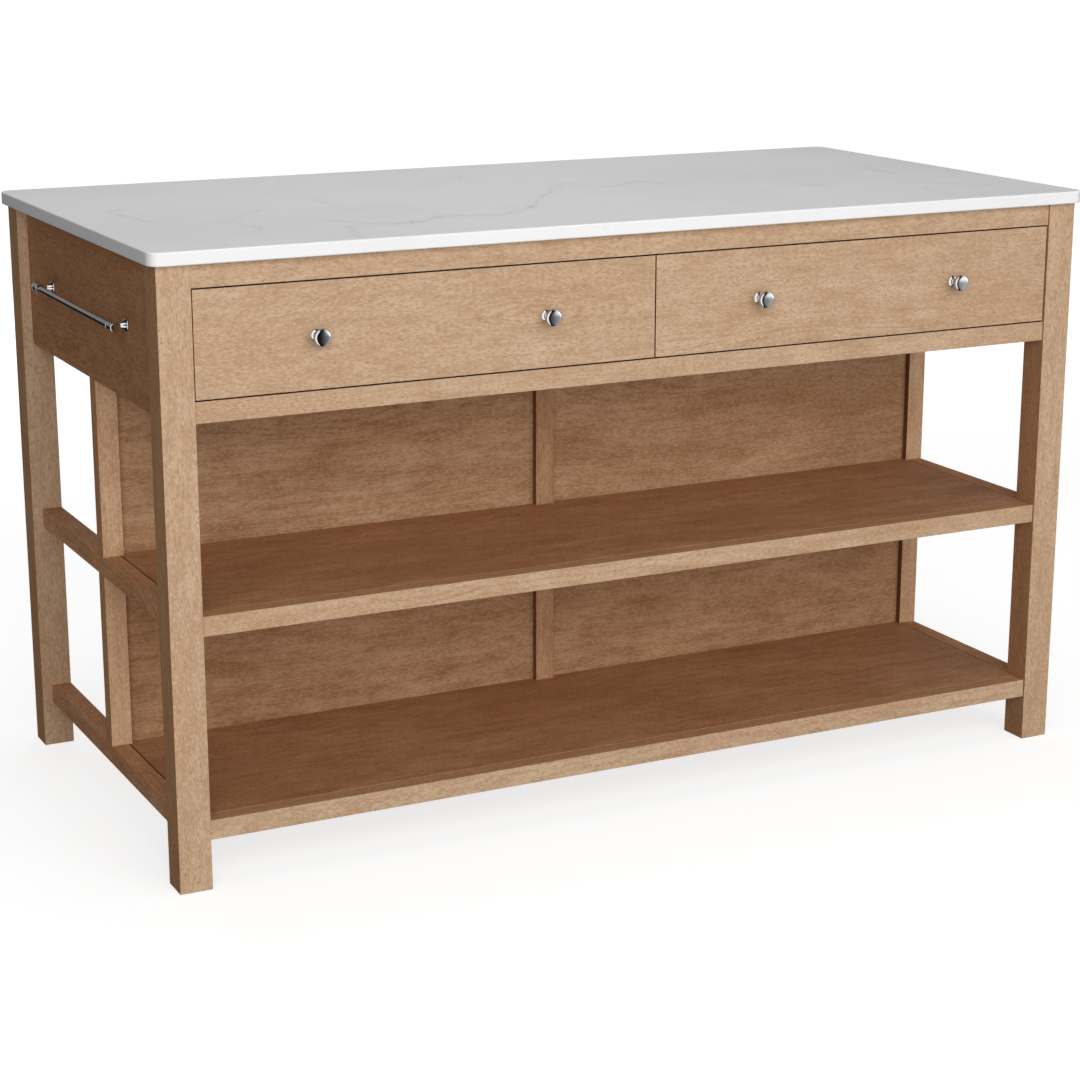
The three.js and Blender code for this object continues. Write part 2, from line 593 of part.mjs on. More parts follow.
// The towel bar on the left end: a rod held between two turned brackets with blind sockets.
function towelBar() {
  const group = new THREE.Group();
  const rodX = -END_OUTER_X - TOWEL_STANDOFF;
  const rodZ = onGrid(LEG_HEIGHT - TOWEL_DROP);
  const apron = END_OUTER_X - LEG_INNER_X;
  const socketRadius = TOWEL_ROD_RADIUS + FIT;
  const headRadius = socketRadius + TOWEL_SOCKET_WALL;
  const collarRadius = headRadius + TOWEL_COLLAR_STEP;
  const collarY = TOWEL_SOCKET_DEPTH - TOWEL_COLLAR_LENGTH;

  const waist = TOWEL_FLANGE_RIM + TOWEL_WAIST_HEIGHT;
  const stemProfile = [
    ...screwProfile(apron).map(([radius, depth]) => [radius, -depth]).reverse(),
    [TOWEL_FLANGE_RADIUS, 0],
    [TOWEL_FLANGE_RADIUS, TOWEL_FLANGE_RIM - TOWEL_FLANGE_ROUND],
    [TOWEL_FLANGE_RADIUS - TOWEL_FLANGE_ROUND, TOWEL_FLANGE_RIM],
    [TOWEL_WAIST_RADIUS, waist],
    [TOWEL_STEM_RADIUS, waist + TOWEL_STEM_TAPER],
    [TOWEL_STEM_RADIUS, TOWEL_STANDOFF],
    [0, TOWEL_STANDOFF],
  ];
  const capFace = TOWEL_CAP_CROWN - TOWEL_END_REACH;
  const capRear = TOWEL_CAP_THICKNESS - TOWEL_END_REACH;
  const capRound = [TOWEL_CAP_FRONT_ROUND, TOWEL_CAP_FRONT_ROUND];
  const capCentre = [TOWEL_CAP_RADIUS - TOWEL_CAP_FRONT_ROUND, capFace + TOWEL_CAP_FRONT_ROUND];
  const headProfile = [
    [0, -TOWEL_END_REACH],
    ...quarter(capCentre, capRound, -90, 0, 2),
    [TOWEL_CAP_RADIUS, capRear],
    [headRadius, capRear],
    [headRadius, collarY],
    [collarRadius, collarY],
    [collarRadius, TOWEL_SOCKET_DEPTH],
    [0, TOWEL_SOCKET_DEPTH],
  ];
  const ends = { front: -1, back: 1 };
  for (const [place, end] of Object.entries(ends)) {
    const bracketY = (end * TOWEL_SPACING) / 2;
    const stem = turned(stemProfile, polishedNickel);
    stem.rotation.z = Math.PI / 2;
    stem.position.set(onGrid(-END_OUTER_X), bracketY, rodZ);
    const head = turned(headProfile, polishedNickel);
    head.rotation.x = end < 0 ? 0 : Math.PI;
    head.position.set(rodX, bracketY, rodZ);
    const bore = cylinder("", socketRadius, TOWEL_SOCKET_DEPTH + FIT);
    bore.position.set(rodX, bracketY - (end * (TOWEL_SOCKET_DEPTH + FIT)) / 2, rodZ);
    const bracket = solidOf(stem).add(solidOf(head)).subtract(solidOf(bore));
    group.add(meshOf(`towel_bracket_${place}`, polishedNickel, bracket));
  }

  const rod = cylinder("towel_rod", TOWEL_ROD_RADIUS, TOWEL_SPACING - 2 * FIT);
  rod.position.set(rodX, 0, rodZ);
  group.add(rod);
  return group;
}

const island = new THREE.Group();
island.name = "kitchen_island";
island.add(worktop(), legs(), aprons(), drawerSpace());
island.add(shelf("bottom_shelf", BOTTOM_SHELF_TOP), shelf("mid_shelf", MID_SHELF_TOP));
island.add(
  backLevel(
    "lower",
    BOTTOM_SHELF_TOP,
    MID_SHELF_TOP - SHELF_RAIL_HEIGHT,
    MID_SHELF_TOP - SHELF_PANEL_THICKNESS,
  ),
);
island.add(backLevel("upper", MID_SHELF_TOP, APRON_UNDERSIDE, APRON_UNDERSIDE));
for (const side of [LEFT, RIGHT]) {
  island.add(drawer(side), slides(side));
}
island.add(towelBar());

export default island;
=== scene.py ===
import math
import random

import bmesh
import bpy
from mathutils import Euler, Matrix, Vector


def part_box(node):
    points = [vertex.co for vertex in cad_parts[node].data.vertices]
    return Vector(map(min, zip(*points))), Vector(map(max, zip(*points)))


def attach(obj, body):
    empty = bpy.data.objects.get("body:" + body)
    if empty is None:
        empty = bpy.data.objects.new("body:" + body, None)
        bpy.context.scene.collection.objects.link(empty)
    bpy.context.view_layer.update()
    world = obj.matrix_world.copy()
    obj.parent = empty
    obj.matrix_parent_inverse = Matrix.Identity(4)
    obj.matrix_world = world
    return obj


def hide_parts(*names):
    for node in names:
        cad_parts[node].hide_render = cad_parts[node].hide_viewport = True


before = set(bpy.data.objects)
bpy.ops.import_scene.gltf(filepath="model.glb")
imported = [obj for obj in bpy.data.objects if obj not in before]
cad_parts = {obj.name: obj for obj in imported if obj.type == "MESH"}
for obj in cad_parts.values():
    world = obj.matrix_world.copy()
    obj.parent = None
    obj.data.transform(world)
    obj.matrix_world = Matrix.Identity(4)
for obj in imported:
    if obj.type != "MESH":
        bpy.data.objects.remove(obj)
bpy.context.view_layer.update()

# The view: the camera stands left of the island and a little above its top, where the
# photograph was taken. Its long lens fills the square picture with the whole length.
VIEW_POINT = (-1.72185, -3.43185, 1.36198)
VIEW_TURN = 26.595  # degrees from straight at the drawers towards the right end
VIEW_TILT = 14.956  # degrees below the horizon
VIEW_LENS = 81.433
view = bpy.data.cameras.new("view")
view.sensor_width = 36
view.lens = VIEW_LENS
view_stand = bpy.data.objects.new("view", view)
view_stand.location = VIEW_POINT
view_stand.rotation_euler = [math.radians(turn) for turn in (90 - VIEW_TILT, 0, -VIEW_TURN)]
bpy.context.scene.collection.objects.link(view_stand)
bpy.context.scene.camera = view_stand


# Four legs of square timber stand at the corners and carry everything. Their grain runs
# upright, their long edges are softened with paper, and the matt lacquer leaves the pores open.
class Signal:
    """A socket of a finish. Sums and products of signals add Math nodes."""

    def __init__(self, finish, socket):
        self.finish = finish
        self.socket = socket

    def out(self, name):
        return Signal(self.finish, self.socket.node.outputs[name])

    def __add__(self, other):
        return self.finish.maths("ADD", self, other)

    def __radd__(self, other):
        return self.finish.maths("ADD", other, self)

    def __sub__(self, other):
        return self.finish.maths("SUBTRACT", self, other)

    def __rsub__(self, other):
        return self.finish.maths("SUBTRACT", other, self)

    def __mul__(self, other):
        return self.finish.maths("MULTIPLY", self, other)

    def __rmul__(self, other):
        return self.finish.maths("MULTIPLY", other, self)


class Finish:
    """A material or a world, and the nodes that make it."""

    def __init__(self, owner, ending):
        self.owner = owner
        owner.use_nodes = True
        self.tree = owner.node_tree
        self.tree.nodes.clear()
        self.ending = self.tree.nodes.new("ShaderNode" + ending)

    def node(self, kind, settings=None, sockets=None, output=0):
        """Adds a node, gives it its settings, then its values and links."""
        made = self.tree.nodes.new("ShaderNode" + kind)
        for name, value in (settings or {}).items():
            if name == "stops":
                steps = made.color_ramp.elements
                while len(steps) < len(value):
                    steps.new(1)
                for step, (place, colour) in zip(steps, value):
                    step.position = place
                    step.color = (*colour, 1)
            elif name == "points":
                curve = made.mapping.curves[0].points
                curve[0].location = value[0]
                curve[-1].location = value[-1]
                for place in value[1:-1]:
                    curve.new(*place)
                made.mapping.update()
            else:
                setattr(made, name, value)
        for name, value in (sockets or {}).items():
            if isinstance(value, Signal):
                self.tree.links.new(value.socket, made.inputs[name])
            else:
                made.inputs[name].default_value = value
        return Signal(self, made.outputs[output])

    def maths(self, operation, *values):
        return self.node("Math", {"operation": operation}, dict(enumerate(values)))

    def place(self):
        return self.node("TexCoord", output="Object")

    def scaled(self, vector, scale):
        return self.node("VectorMath", {"operation": "MULTIPLY"}, {0: vector, 1: scale})

    def noise(self, vector, scale, detail=2.0, roughness=0.5):
        """Noise from 0 to 1, with its own number of blotches in a metre each way."""
        sockets = {"Vector": self.scaled(vector, scale), "Scale": 1.0}
        return self.node("TexNoise", {}, sockets | {"Detail": detail, "Roughness": roughness})

    def between(self, value, low, high, start=0.0, end=1.0):
        """start where value is below low, end where it is above high, and smooth between."""
        sockets = {"Value": value, "From Min": low, "From Max": high}
        sockets |= {"To Min": start, "To Max": end}
        return self.node("MapRange", {"interpolation_type": "SMOOTHSTEP"}, sockets)

    def blend(self, share, first, second, way="MIX"):
        colours = {0: share, 6: first, 7: second}
        return self.node("Mix", {"data_type": "RGBA", "blend_type": way}, colours, output=2)

    def principled(self, **sockets):
        names = {name.replace("_", " ").title(): value for name, value in sockets.items()}
        names = {name.replace("Ior", "IOR"): value for name, value in names.items()}
        surface = self.node("BsdfPrincipled", {}, names)
        self.tree.links.new(surface.socket, self.ending.inputs["Surface"])
        return self.owner


BOARD_TURNS = {
    "flat": (0, 0, 0),  # grain along X, face up
    "across": (0, 0, -90),  # grain along Y, face up
    "front": (90, 0, 0),  # grain along X, face to the front
    "end": (90, -90, 0),  # grain along Y, face to the end
    "upright": (0, 90, 0),  # grain along Z
}
RING_SPACING = 0.0062
RING_WANDER = 0.030  # how far the rings stray from true circles
RING_RIPPLE = 0.003
RING_FADE = 0.035  # depth beyond the nearest ring over which the figure fades
SEAM_WIDTH = 0.0036
LACQUER_ROUGHNESS = 0.56
LACQUER_SHEEN = 0.04
TIMBER = (0.530, 0.355, 0.226)
TIMBER_DARK = (0.430, 0.262, 0.152)
TIMBER_LIGHT = (0.620, 0.445, 0.302)
TIMBER_RED = (0.470, 0.274, 0.156)
PORE = (0.290, 0.158, 0.086)
# Painted shade colour: side faces, top faces and shaded pieces are multiplied by it.
PAINTED_SHADE_COLOUR = (0.790, 0.640, 0.510)
# Painted shade in gaps and recesses, and also the real stain that gathers in a joint.
SHADE_AND_JOINT_STAIN = (0.160, 0.100, 0.070)
CLOUD_STAIN = (0.690, 0.600, 0.510)


def laid(finish, lay, heart, start=(0, 0, 0)):
    """A board's own axes, X along the grain and Z out of the face, with start at heart."""
    turn = Euler([math.radians(angle) for angle in BOARD_TURNS[lay]])
    shift = Vector(start) - turn.to_matrix() @ Vector(heart)
    settings = {"Vector": finish.place(), "Rotation": turn, "Location": shift}
    return finish.node("Mapping", {}, settings)


def timber(
    name, lay, heart, depth=0.05, slope=0.1, redness=0.35, painted_shade_amount=0.0, contrast=1.0,
    clouding=0.0, painted_light_tint=None, edges=0.0, sheen=LACQUER_SHEEN, seam=0.0,
):
    """Stained timber under matt lacquer, cut so that its rings close round heart.

    The rings' middle lies depth under the face there, and leaves it with this slope. Faces toward
    the ends and faces looking up get painted shade, and the painted shade amount paints shade over
    the whole piece; the tint is painted light or shade over the whole piece. Edges paints shade on
    what turns away from the front, and seam is where stain gathers beside a joint.
    """
    finish = Finish(bpy.data.materials.new(name), "OutputMaterial")
    chance = random.Random(name)
    board = laid(finish, lay, heart)
    start = [chance.uniform(5, 50) for _ in range(3)]
    grain = finish.node("VectorMath", {"operation": "ADD"}, {0: board, 1: start})

    wander = finish.noise(grain, (4.0, 16.0, 16.0), 3.0, 0.55) - 0.5
    fine_wander = finish.noise(grain, (28.0, 90.0, 90.0), 2.0, 0.5) - 0.5
    axes = finish.node("SeparateXYZ", {}, {"Vector": board})
    run = axes * slope
    side = axes.out("Y")
    down = axes.out("Z") + depth
    radius = finish.maths("SQRT", run * run + side * side + down * down)
    strayed = radius + wander * RING_WANDER + fine_wander * RING_RIPPLE
    rings = strayed * (math.tau / RING_SPACING)
    wave = finish.maths("SINE", rings) * 0.5 + 0.5
    line = finish.maths("POWER", wave, 3.0)
    near = finish.between(radius, depth + 0.002, depth + RING_FADE, 1.0, 0.30)

    streak = finish.noise(grain, (8.0, 65.0, 65.0), 3.0, 0.6) - 0.5
    mottle = finish.noise(grain, (17.0, 34.0, 34.0), 3.0, 0.55) - 0.5
    fleck = finish.noise(grain, (50.0, 150.0, 150.0), 3.0, 0.7) - 0.5
    cloud = finish.noise(grain, (2.2, 7.0, 7.0), 2.0, 0.5)
    figured = line * near * -0.34 + near * 0.07
    tone = 0.5 + (streak * 1.1 + mottle + fleck * 0.95 + figured) * contrast
    stops = [(0.0, TIMBER_DARK), (0.5, TIMBER), (1.0, TIMBER_LIGHT)]
    colour = finish.node("ValToRGB", {"stops": stops}, {"Fac": tone})
    red = finish.between(cloud, 0.46, 0.70, 0.0, redness)
    colour = finish.blend(red, colour, (*TIMBER_RED, 1))

    fibre = finish.noise(grain, (160.0, 400.0, 400.0), 2.0, 0.65)
    pores = finish.between(fibre, 0.50, 0.72)
    porous = contrast * (1.0 - clouding)  # open pores are filled where the stain is cloudy
    patchy = finish.between(mottle + streak, -0.20, 0.18, 0.25 * porous, 0.60 * porous)
    colour = finish.blend(pores * patchy, colour, (*PORE, 1))
    flash = finish.between(fibre, 0.49, 0.30, 0.0, min(0.75 * contrast, 1.0))
    colour = finish.blend(flash, colour, (*TIMBER_LIGHT, 1))

    # Painted shade: faces toward the ends and faces looking up are darkened by the painted shade
    # colour, and the painted shade amount darkens the whole piece the same way.
    facing = finish.node("SeparateXYZ", {}, {"Vector": finish.node("TexCoord", output="Normal")})
    ends = finish.between(finish.maths("ABSOLUTE", facing), 0.4, 0.9)
    tops = finish.between(facing.out("Z"), 0.4, 0.9)
    painted_shade_share = finish.maths("MAXIMUM", finish.maths("MAXIMUM", ends, tops), painted_shade_amount)
    colour = finish.blend(painted_shade_share, colour, (*PAINTED_SHADE_COLOUR, 1), "MULTIPLY")
    if clouding:
        drift = finish.noise(grain, (5.0, 14.0, 14.0), 4.0, 0.6)
        cloudy = finish.between(drift, 0.34, 0.66, 0.0, clouding)
        colour = finish.blend(cloudy, colour, (*CLOUD_STAIN, 1), "MULTIPLY")
    # Painted light and shade: the tint brightens or darkens a whole piece by how it is lit.
    if painted_light_tint:
        colour = finish.blend(1.0, colour, (*painted_light_tint, 1), "MULTIPLY")
    # Painted shade: faces that turn away from the front, the sides of gaps and recesses, are
    # darkened.
    if edges:
        frontal = finish.maths("ABSOLUTE", facing.out("Y"))
        painted_gap_shade = finish.between(frontal, 0.9, 0.3, 0.0, edges)
        colour = finish.blend(painted_gap_shade, colour, (*SHADE_AND_JOINT_STAIN, 1), "MULTIPLY")
    if seam:
        along = finish.node("SeparateXYZ", {}, {"Vector": finish.place()})
        apart = finish.maths("ABSOLUTE", along)
        gathered = finish.between(apart, seam - SEAM_WIDTH, seam - SEAM_WIDTH / 3, 0.0, 0.9)
        colour = finish.blend(gathered, colour, (*SHADE_AND_JOINT_STAIN, 1), "MULTIPLY")

    height = (fibre - 0.5) * -1.0 + line * near * -0.25
    bump = {"Height": height, "Strength": 0.25, "Distance": 0.0004}
    return finish.principled(
        base_color=colour,
        roughness=LACQUER_ROUGHNESS + pores * 0.12 + mottle * 0.10,
        specular_ior_level=sheen,
        normal=finish.node("Bump", {}, bump),
    )


def dress(node, finish, softening=0.0):
    """Gives a CAD piece its finish and, on its sharp edges, the rounding that a maker leaves."""
    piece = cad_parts[node]
    for holder in piece.material_slots:
        holder.material = finish
    if softening:
        weld = piece.modifiers.new("weld", "WELD")
        weld.merge_threshold = 0.00001
        faces = piece.modifiers.new("faces", "DECIMATE")
        faces.decimate_type = "DISSOLVE"
        faces.angle_limit = math.radians(1)
        edge = piece.modifiers.new("edge", "BEVEL")
        edge.width = softening
        edge.segments = 3
        edge.limit_method = "ANGLE"
        edge.angle_limit = math.radians(40)
        edge.harden_normals = True


LEG_HEARTS = {
    "leg_front_left": (-0.770, -0.300, 0.300),
    "leg_front_right": (0.690, -0.300, 0.520),
    "leg_back_left": (-0.680, 0.300, 0.420),
    "leg_back_right": (0.780, 0.300, 0.250),
}
for leg, heart in LEG_HEARTS.items():
    wood = timber("timber_" + leg, "upright", heart, depth=0.02, slope=0.05)
    dress(leg, wood, softening=0.0008)

# Aprons join the legs under the top: one at each end and one along the knee space. They are
# wide boards of the same timber, set back from the legs' outer faces.
# Painted shade: the end aprons are darkened and warmed by this tint.
APRON_PAINTED_SHADE = (0.96, 0.85, 0.80)
END_APRON_HEARTS = {
    "end_apron_left": (-0.735, 0.120, 0.700),
    "end_apron_right": (0.735, -0.100, 0.810),
}
for apron, heart in END_APRON_HEARTS.items():
    wood = timber("timber_" + apron, "end", heart, depth=0.03, contrast=1.3, painted_light_tint=APRON_PAINTED_SHADE)
    dress(apron, wood, softening=0.0010)
wood = timber("timber_back_apron", "front", (0.350, 0.357, 0.730), depth=0.02)
dress("back_apron", wood, softening=0.0010)

# Two slim rails run between the front legs, above and below the drawers. They are flush with
# the drawer fronts and hide the runners' ends.
FRONT_RAIL_HEARTS = {
    "front_top_rail": (0.260, -0.340, 0.905),
    "front_lower_rail": (-0.060, -0.356, 0.640),
}
for rail, heart in FRONT_RAIL_HEARTS.items():
    # Painted shade: the rails' top and bottom faces are darkened where they line the gaps by the
    # drawers.
    wood = timber("timber_" + rail, "front", heart, depth=0.01, slope=0.08, edges=1.0)
    dress(rail, wood, softening=0.0005)

# A board closes the drawer space at the back, and a divider between the drawers carries the
# inner runners. The divider is of the pale clear-lacquered timber of the drawer boxes.
BOX_TIMBER = (0.700, 0.520, 0.330)
BOX_TIMBER_DARK = (0.590, 0.410, 0.240)
BOX_TIMBER_LIGHT = (0.780, 0.620, 0.430)


def box_timber(name, lay, heart):
    """Pale close-grained timber with faint lines and a thin clear lacquer."""
    finish = Finish(bpy.data.materials.new(name), "OutputMaterial")
    chance = random.Random(name)
    board = laid(finish, lay, heart, [chance.uniform(5, 50) for _ in range(3)])
    streak = finish.noise(board, (2.5, 110.0, 110.0), 3.0, 0.6)
    mottle = finish.noise(board, (9.0, 25.0, 25.0), 2.0, 0.5)
    fibre = finish.noise(board, (50.0, 700.0, 700.0), 2.0, 0.6)
    tone = streak * 0.7 + mottle * 0.2 + fibre * 0.35 - 0.12
    stops = [(0.2, BOX_TIMBER_DARK), (0.5, BOX_TIMBER), (0.85, BOX_TIMBER_LIGHT)]
    colour = finish.node("ValToRGB", {"stops": stops}, {"Fac": tone})
    bump = {"Height": fibre, "Strength": 0.12, "Distance": 0.0003}
    return finish.principled(
        base_color=colour,
        roughness=0.38 + fibre * 0.12,
        normal=finish.node("Bump", {}, bump),
    )


wood = timber("timber_drawer_back_board", "front", (-0.300, 0.000, 0.650), depth=0.03)
dress("drawer_back_board", wood, softening=0.0010)
wood = box_timber("box_timber_divider", "end", (0, -0.180, 0.780))
dress("drawer_divider", wood, softening=0.0006)

# Each shelf is a frame of three rails with a panel let in flush. The panel's edges show as fine
# seams, and the rails' outer edges line up with the aprons above.
BOTTOM_SHELF_TOP = 0.102
MID_SHELF_TOP = 0.399
SHELF_SEAM = 0.708  # from the middle of the island to the ends of a shelf's panel
SHELF_END_HEARTS = {"left": (-0.760, 0.1), "right": (0.760, -0.1)}
# Painted light: the shelves' end rails are brightened by these tints.
SHELF_END_PAINTED_LIGHT = {"left": (1.20, 1.13, 1.12), "right": (1.15, 1.10, 1.08)}
for shelf, top in {"bottom_shelf": BOTTOM_SHELF_TOP, "mid_shelf": MID_SHELF_TOP}.items():
    lift = top - BOTTOM_SHELF_TOP
    heart = (0.1 - lift, -0.400, top)
    wood = timber(f"timber_{shelf}_front", "flat", heart, depth=0.03, slope=0.07)
    dress(shelf + "_front_rail", wood, softening=0.0010)
    for side, spot in SHELF_END_HEARTS.items():
        wood = timber(
            f"timber_{shelf}_{side}", "across", (*spot, top), depth=0.02, slope=0.07,
            contrast=1.6, painted_light_tint=SHELF_END_PAINTED_LIGHT[side],
        )
        dress(f"{shelf}_{side}_rail", wood, softening=0.0010)
    # Painted shade: the shelf panels are tinted warmer and darker.
    wood = timber(
        f"timber_{shelf}_panel", "flat", (0.2 - lift * 2, -0.1, top), depth=0.012, redness=0.5,
        contrast=2.2, clouding=0.45, painted_light_tint=(1.02, 0.93, 0.88), sheen=0.35, seam=SHELF_SEAM,
    )
    dress(shelf + "_panel", wood, softening=0.0005)

# The storage space is closed by a recessed back: three posts on each shelf, and a thin panel
# held in grooves between each two of them.
LEVEL_MIDDLES = {"lower": 0.23, "upper": 0.53}
# Painted shade: the lower back panels are darkened by their tint; the upper ones are almost
# unchanged.
PANEL_PAINTED_SHADE = {"lower": (0.92, 0.90, 0.87), "upper": (0.98, 1.00, 1.01)}
# Painted light: the end posts are brightened by their tint, with a little painted shade.
END_POST = {"painted_shade_amount": 0.1, "painted_light_tint": (1.12, 1.08, 1.03)}
# Painted shade: the centre post is darkened all over, and the side faces of the centre and right
# posts are darkened.
POSTS = {
    "left": {"across": -0.719, "form": {**END_POST, "edges": 0.0}},
    "centre": {"across": 0.0, "form": {"painted_shade_amount": 0.8, "edges": 0.55}},
    "right": {"across": 0.719, "form": {**END_POST, "edges": 0.75}},
}
for level, middle in LEVEL_MIDDLES.items():
    for side, post in POSTS.items():
        heart = (post["across"] + 0.05, -0.05, middle)
        wood = timber(
            f"timber_{level}_post_{side}", "upright", heart, depth=0.02, slope=0.05,
            contrast=1.3, clouding=0.3, **post["form"],
        )
        dress(f"{level}_post_{side}", wood, softening=0.0008)
    for side, across in {"left": -0.33, "right": 0.27}.items():
        # Painted shade: the back panels are darkened all over by the painted shade amount, on top
        # of their tint.
        wood = timber(
            f"timber_{level}_panel_{side}", "front", (across, 0.001, middle + 0.05),
            depth=0.015, slope=0.16, painted_shade_amount=0.7, contrast=1.9, clouding=0.5,
            painted_light_tint=PANEL_PAINTED_SHADE[level],
        )
        dress(f"{level}_back_panel_{side}", wood, softening=0.0004)

# Each drawer runs on two three-member ball bearing runners of zinc plated steel, pressed from
# strip. The cabinet member stays, the drawer member goes, and the middle one goes half as far.
ZINC = (0.60, 0.62, 0.64)
ZINC_BLOOM = (0.50, 0.52, 0.55)


def zinc_plate():
    """Bright zinc on rolled steel strip, with fine rolling lines along the runner."""
    finish = Finish(bpy.data.materials.new("zinc_plate"), "OutputMaterial")
    place = finish.place()
    lines = finish.noise(place, (40.0, 6.0, 1400.0), 2.0, 0.6)
    bloom = finish.noise(place, (60.0, 60.0, 60.0), 3.0, 0.6)
    dulled = finish.between(bloom, 0.4, 0.65)
    colour = finish.blend(dulled, (*ZINC, 1), (*ZINC_BLOOM, 1))
    return finish.principled(
        base_color=colour,
        metallic=1.0,
        roughness=0.24 + lines * 0.16 + bloom * 0.10,
    )


runner_steel = zinc_plate()
for side in ("left", "right"):
    for place in ("outer", "inner"):
        for member in ("cabinet", "middle", "drawer"):
            dress(f"slide_{side}_{place}_{member}_member", runner_steel)

# A drawer is a solid front screwed to a light box: sides and back of pale timber, and a thin
# plywood bottom in grooves. The left front shows the closed rings of a board cut near the heart.


def plywood(name, heart):
    """Pale rotary-cut veneer with wide, slow figure."""
    finish = Finish(bpy.data.materials.new(name), "OutputMaterial")
    settings = {"Vector": finish.place(), "Location": [-part for part in heart]}
    board = finish.node("Mapping", {}, settings)
    wander = finish.noise(board, (3.0, 6.0, 6.0), 3.0, 0.5)
    wave = finish.maths("SINE", wander * 90.0) * 0.5 + 0.5
    fibre = finish.noise(board, (45.0, 600.0, 600.0), 2.0, 0.6)
    tone = wave * 0.35 + fibre * 0.5 + 0.1
    stops = [(0.2, BOX_TIMBER_DARK), (0.55, BOX_TIMBER), (0.9, BOX_TIMBER_LIGHT)]
    colour = finish.node("ValToRGB", {"stops": stops}, {"Fac": tone})
    bump = {"Height": fibre, "Strength": 0.1, "Distance": 0.0003}
    return finish.principled(
        base_color=colour,
        roughness=0.42 + fibre * 0.1,
        normal=finish.node("Bump", {}, bump),
    )


DRAWER_FIGURES = {
    "left": {"heart": (-0.205, -0.367, 0.779), "depth": 0.008, "slope": 0.22},
    "right": {"heart": (0.200, -0.367, 0.690), "depth": 0.035, "slope": 0.10},
}
BOX_MIDDLES = {"left": -0.351, "right": 0.351}
for side, form in DRAWER_FIGURES.items():
    name = "drawer_" + side
    # Painted shade: the fronts' top, bottom and side faces are darkened so that the gaps round the
    # drawers read dark.
    wood = timber(f"timber_{name}_front", "front", edges=0.8, **form)
    dress(name + "_front", wood, softening=0.0005)
    for part, lay in {"outer_side": "end", "inner_side": "end", "back": "front"}.items():
        wood = box_timber(f"box_timber_{name}_{part}", lay, (BOX_MIDDLES[side], -0.18, 0.77))
        dress(f"{name}_{part}", wood, softening=0.0008)
    veneer = plywood("plywood_" + name, (BOX_MIDDLES[side], -0.18, 0.725))
    dress(name + "_bottom", veneer, softening=0.0003)

# Each drawer front has two turned knobs of polished dark nickel: a low-crowned cap on a waisted
# neck with a flange at its foot, held by a screw from inside the drawer.
NICKEL = (0.56, 0.56, 0.57)
NICKEL_HAZE = (0.50, 0.50, 0.515)


def polished_nickel():
    """Dark nickel, buffed bright, with the faint haze that handling leaves."""
    finish = Finish(bpy.data.materials.new("polished_nickel"), "OutputMaterial")
    place = finish.place()
    haze = finish.noise(place, (90.0, 90.0, 90.0), 3.0, 0.6)
    scratch = finish.noise(place, (900.0, 60.0, 900.0), 2.0, 0.6)
    colour = finish.blend(haze, (*NICKEL, 1), (*NICKEL_HAZE, 1))
    bump = {"Height": scratch, "Strength": 0.02, "Distance": 0.0001}
    return finish.principled(
        base_color=colour,
        metallic=1.0,
        roughness=0.05 + haze * 0.05,
        normal=finish.node("Bump", {}, bump),
    )


nickel = polished_nickel()
TURNING_STEPS = 64


def turned(shape, steps):
    """Spins a profile of (radius, height, rounding) round Z, and returns its new vertices."""
    before = set(shape.verts)
    corners = [shape.verts.new((radius, 0, height)) for radius, height, _ in steps]
    for first, second in zip(corners, corners[1:]):
        shape.edges.new((first, second))
    for corner, (_, _, rounding) in zip(corners, steps):
        if rounding:
            bmesh.ops.bevel(
                shape, geom=[corner], offset=rounding, offset_type="OFFSET", affect="VERTICES",
                segments=6, profile=0.5, material=-1,
            )
    profile = [part for part in shape.verts if part not in before]
    edges = list({edge for part in profile for edge in part.link_edges})
    bmesh.ops.spin(
        shape, geom=profile + edges, cent=(0, 0, 0), axis=(0, 0, 1),
        angle=math.tau, steps=TURNING_STEPS, use_merge=True,
    )
    made = [part for part in shape.verts if part not in before]
    bmesh.ops.remove_doubles(shape, verts=made, dist=0.000002)
    return [part for part in shape.verts if part not in before]


def piece_from(shape, name, finish, body, slot, *nodes):
    """Makes a finished bmesh the piece that stands for these CAD nodes."""
    bmesh.ops.recalc_face_normals(shape, faces=shape.faces)
    mesh = bpy.data.meshes.new(name)
    shape.to_mesh(mesh)
    shape.free()
    mesh.materials.append(finish)
    mesh.shade_smooth()
    mesh.set_sharp_from_angle(angle=math.radians(35))
    piece = bpy.data.objects.new(name, mesh)
    bpy.context.scene.collection.objects.link(piece)
    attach(piece, body)
    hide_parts(*nodes)


SCREW_RADIUS = 0.002
SCREW_HEAD_RADIUS = 0.004
SCREW_HEAD_HEIGHT = 0.0025


def screw_steps(grip):
    """The profile of a fitting's screw, through wood as thick as grip."""
    return [
        (SCREW_RADIUS, 0, 0),
        (SCREW_RADIUS, -grip, 0),
        (SCREW_HEAD_RADIUS, -grip, 0),
        (SCREW_HEAD_RADIUS, -grip - SCREW_HEAD_HEIGHT, 0.001),
        (0, -grip - SCREW_HEAD_HEIGHT, 0),
    ]


